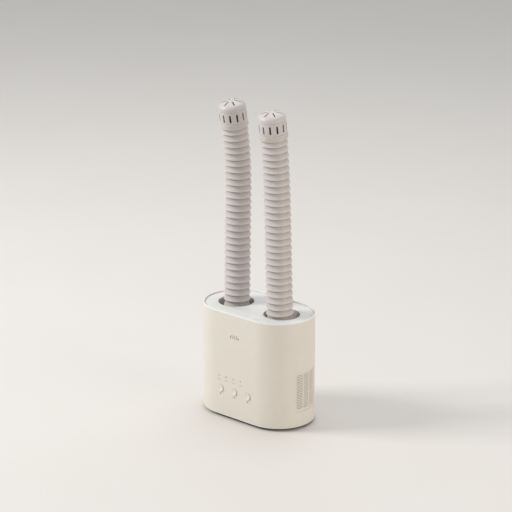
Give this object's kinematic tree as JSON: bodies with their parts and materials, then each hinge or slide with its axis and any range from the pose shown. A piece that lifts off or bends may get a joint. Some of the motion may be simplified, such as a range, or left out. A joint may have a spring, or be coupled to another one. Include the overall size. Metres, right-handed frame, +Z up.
{
  "type": "boot dryer",
  "caption": "Upright warm-air boot dryer: oval casing with round wells, stretching and bending ribbed hoses with slotted nozzles, push buttons and a blower.",
  "frame": {"origin": "on the floor, under the middle of the casing", "axes": "+Z up the hoses, +X along the casing's long side, -Y out of the face with the buttons"},
  "size_m": [0.216, 0.1286, 0.5546],
  "materials": {
    "casing_white": "fine satin moulded shell, warm white",
    "deck_white": "smooth semi-gloss deck, cooler white",
    "well_grey": "dark grey moulded well",
    "base_dark": "dark textured tray",
    "foot_rubber": "matt black rubber",
    "screw_steel": "zinc-plated steel",
    "duct_grey": "heat-resistant moulded plastic",
    "motor_can": "plated steel can",
    "shaft_steel": "ground steel",
    "fan_black": "glass-filled plastic",
    "cutout_black": "phenolic disc",
    "button_white": "satin push button",
    "light_clear": "clear diffusing light pipe",
    "board_green": "circuit board",
    "switch_black": "moulded switch",
    "led_white": "surface-mounted light",
    "component_mix": "moulded board parts",
    "ribbon_grey": "flat ribbon cable",
    "gland_white": "satin moulded gland",
    "grille_white": "fine satin moulded grille, warm white",
    "filter_foam": "pale open-cell foam",
    "heater_ceramic": "ceramic heater with fins",
    "cuff_grey": "moulded collar",
    "hose_grey": "ribbed stretch hose, light warm grey",
    "nozzle_grey": "satin moulded nozzle"
  },
  "bodies": {
    "root": {"body_shell": "casing_white", "top_deck": "deck_white", "base_tray": "base_dark", "rubber_feet": "foot_rubber", "base_screws": "screw_steel", "duct_lower": "duct_grey", "duct_cover": "duct_grey", "fan_motor": "motor_can", "motor_screws": "screw_steel", "thermal_cutouts": "cutout_black", "indicator_light_pipes": "light_clear", "control_board": "board_green", "button_switches": "switch_black", "indicator_leds": "led_white", "power_board": "board_green", "power_board_parts": "component_mix", "board_screws": "screw_steel", "board_ribbon_cable": "ribbon_grey", "cord_gland": "gland_white", "left_intake_grille": "grille_white", "left_dust_filter": "filter_foam", "left_well_liner": "well_grey", "left_heater": "heater_ceramic", "left_hose_cuff": "cuff_grey", "right_intake_grille": "grille_white", "right_dust_filter": "filter_foam", "right_well_liner": "well_grey", "right_heater": "heater_ceramic", "right_hose_cuff": "cuff_grey"},
    "left_hose": {"left_hose_stretch": "hose_grey"},
    "left_lower_bend": {"left_hose_bend_lower": "hose_grey"},
    "left_middle_bend": {"left_hose_bend_middle": "hose_grey"},
    "left_nozzle": {"left_hose_bend_upper": "hose_grey", "left_nozzle_collar": "nozzle_grey", "left_nozzle_barrel": "nozzle_grey", "left_nozzle_cap": "nozzle_grey"},
    "right_hose": {"right_hose_stretch": "hose_grey"},
    "right_lower_bend": {"right_hose_bend_lower": "hose_grey"},
    "right_middle_bend": {"right_hose_bend_middle": "hose_grey"},
    "right_nozzle": {"right_hose_bend_upper": "hose_grey", "right_nozzle_collar": "nozzle_grey", "right_nozzle_barrel": "nozzle_grey", "right_nozzle_cap": "nozzle_grey"},
    "power_button": {"power_button": "button_white"},
    "mode_button": {"mode_button": "button_white"},
    "timer_button": {"timer_button": "button_white"},
    "fan": {"impeller": "fan_black", "motor_shaft": "shaft_steel"}
  },
  "joints": [
    {"name": "left_hose_extend", "type": "slide", "parent": "root", "child": "left_hose", "axis": [0, 0.0175, 0.9998], "range_m": [-0.224, 0], "deforming": ["left_hose_stretch"]},
    {"name": "left_hose_bend", "type": "hinge", "parent": "left_hose", "child": "left_lower_bend", "pos_m": [-0.0521, 0.00542, 0.42174], "axis": [1, 0, 0], "range_deg": [-30, 30], "deforming": ["left_hose_bend_lower"]},
    {"name": "left_hose_middle_bend", "type": "hinge", "parent": "left_lower_bend", "child": "left_middle_bend", "pos_m": [-0.0521, 0.00344, 0.45647], "axis": [1, 0, 0], "range_deg": [-30, 30], "deforming": ["left_hose_bend_middle"]},
    {"name": "left_hose_upper_bend", "type": "hinge", "parent": "left_middle_bend", "child": "left_nozzle", "pos_m": [-0.0521, -0.00064, 0.49101], "axis": [1, 0, 0], "range_deg": [-30, 30], "deforming": ["left_hose_bend_upper"]},
    {"name": "right_hose_extend", "type": "slide", "parent": "root", "child": "right_hose", "axis": [0, -0.0384, 0.9993], "range_m": [-0.224, 0], "deforming": ["right_hose_stretch"]},
    {"name": "right_hose_bend", "type": "hinge", "parent": "right_hose", "child": "right_lower_bend", "pos_m": [0.0521, -0.01398, 0.42152], "axis": [1, 0, 0], "range_deg": [-30, 30], "deforming": ["right_hose_bend_lower"]},
    {"name": "right_hose_middle_bend", "type": "hinge", "parent": "right_lower_bend", "child": "right_middle_bend", "pos_m": [0.0521, -0.01656, 0.45622], "axis": [1, 0, 0], "range_deg": [-30, 30], "deforming": ["right_hose_bend_middle"]},
    {"name": "right_hose_upper_bend", "type": "hinge", "parent": "right_middle_bend", "child": "right_nozzle", "pos_m": [0.0521, -0.02004, 0.49084], "axis": [1, 0, 0], "range_deg": [-30, 30], "deforming": ["right_hose_bend_upper"]},
    {"name": "power_button_press", "type": "slide", "parent": "root", "child": "power_button", "axis": [0, 1, 0], "range_m": [0, 0.0015], "stiffness_N_per_m": 900},
    {"name": "mode_button_press", "type": "slide", "parent": "root", "child": "mode_button", "axis": [0, 1, 0], "range_m": [0, 0.0015], "stiffness_N_per_m": 900},
    {"name": "timer_button_press", "type": "slide", "parent": "root", "child": "timer_button", "axis": [0, 1, 0], "range_m": [0, 0.0015], "stiffness_N_per_m": 900},
    {"name": "fan_spin", "type": "hinge", "parent": "root", "child": "fan", "pos_m": [0, 0, 0.033], "axis": [0, 0, 1], "continuous": true}
  ],
  "couplings": [
    {"joint": "left_hose_middle_bend", "follows": "left_hose_bend", "ratio": 1},
    {"joint": "left_hose_upper_bend", "follows": "left_hose_bend", "ratio": 1},
    {"joint": "right_hose_middle_bend", "follows": "right_hose_bend", "ratio": 1},
    {"joint": "right_hose_upper_bend", "follows": "right_hose_bend", "ratio": 1}
  ]
}
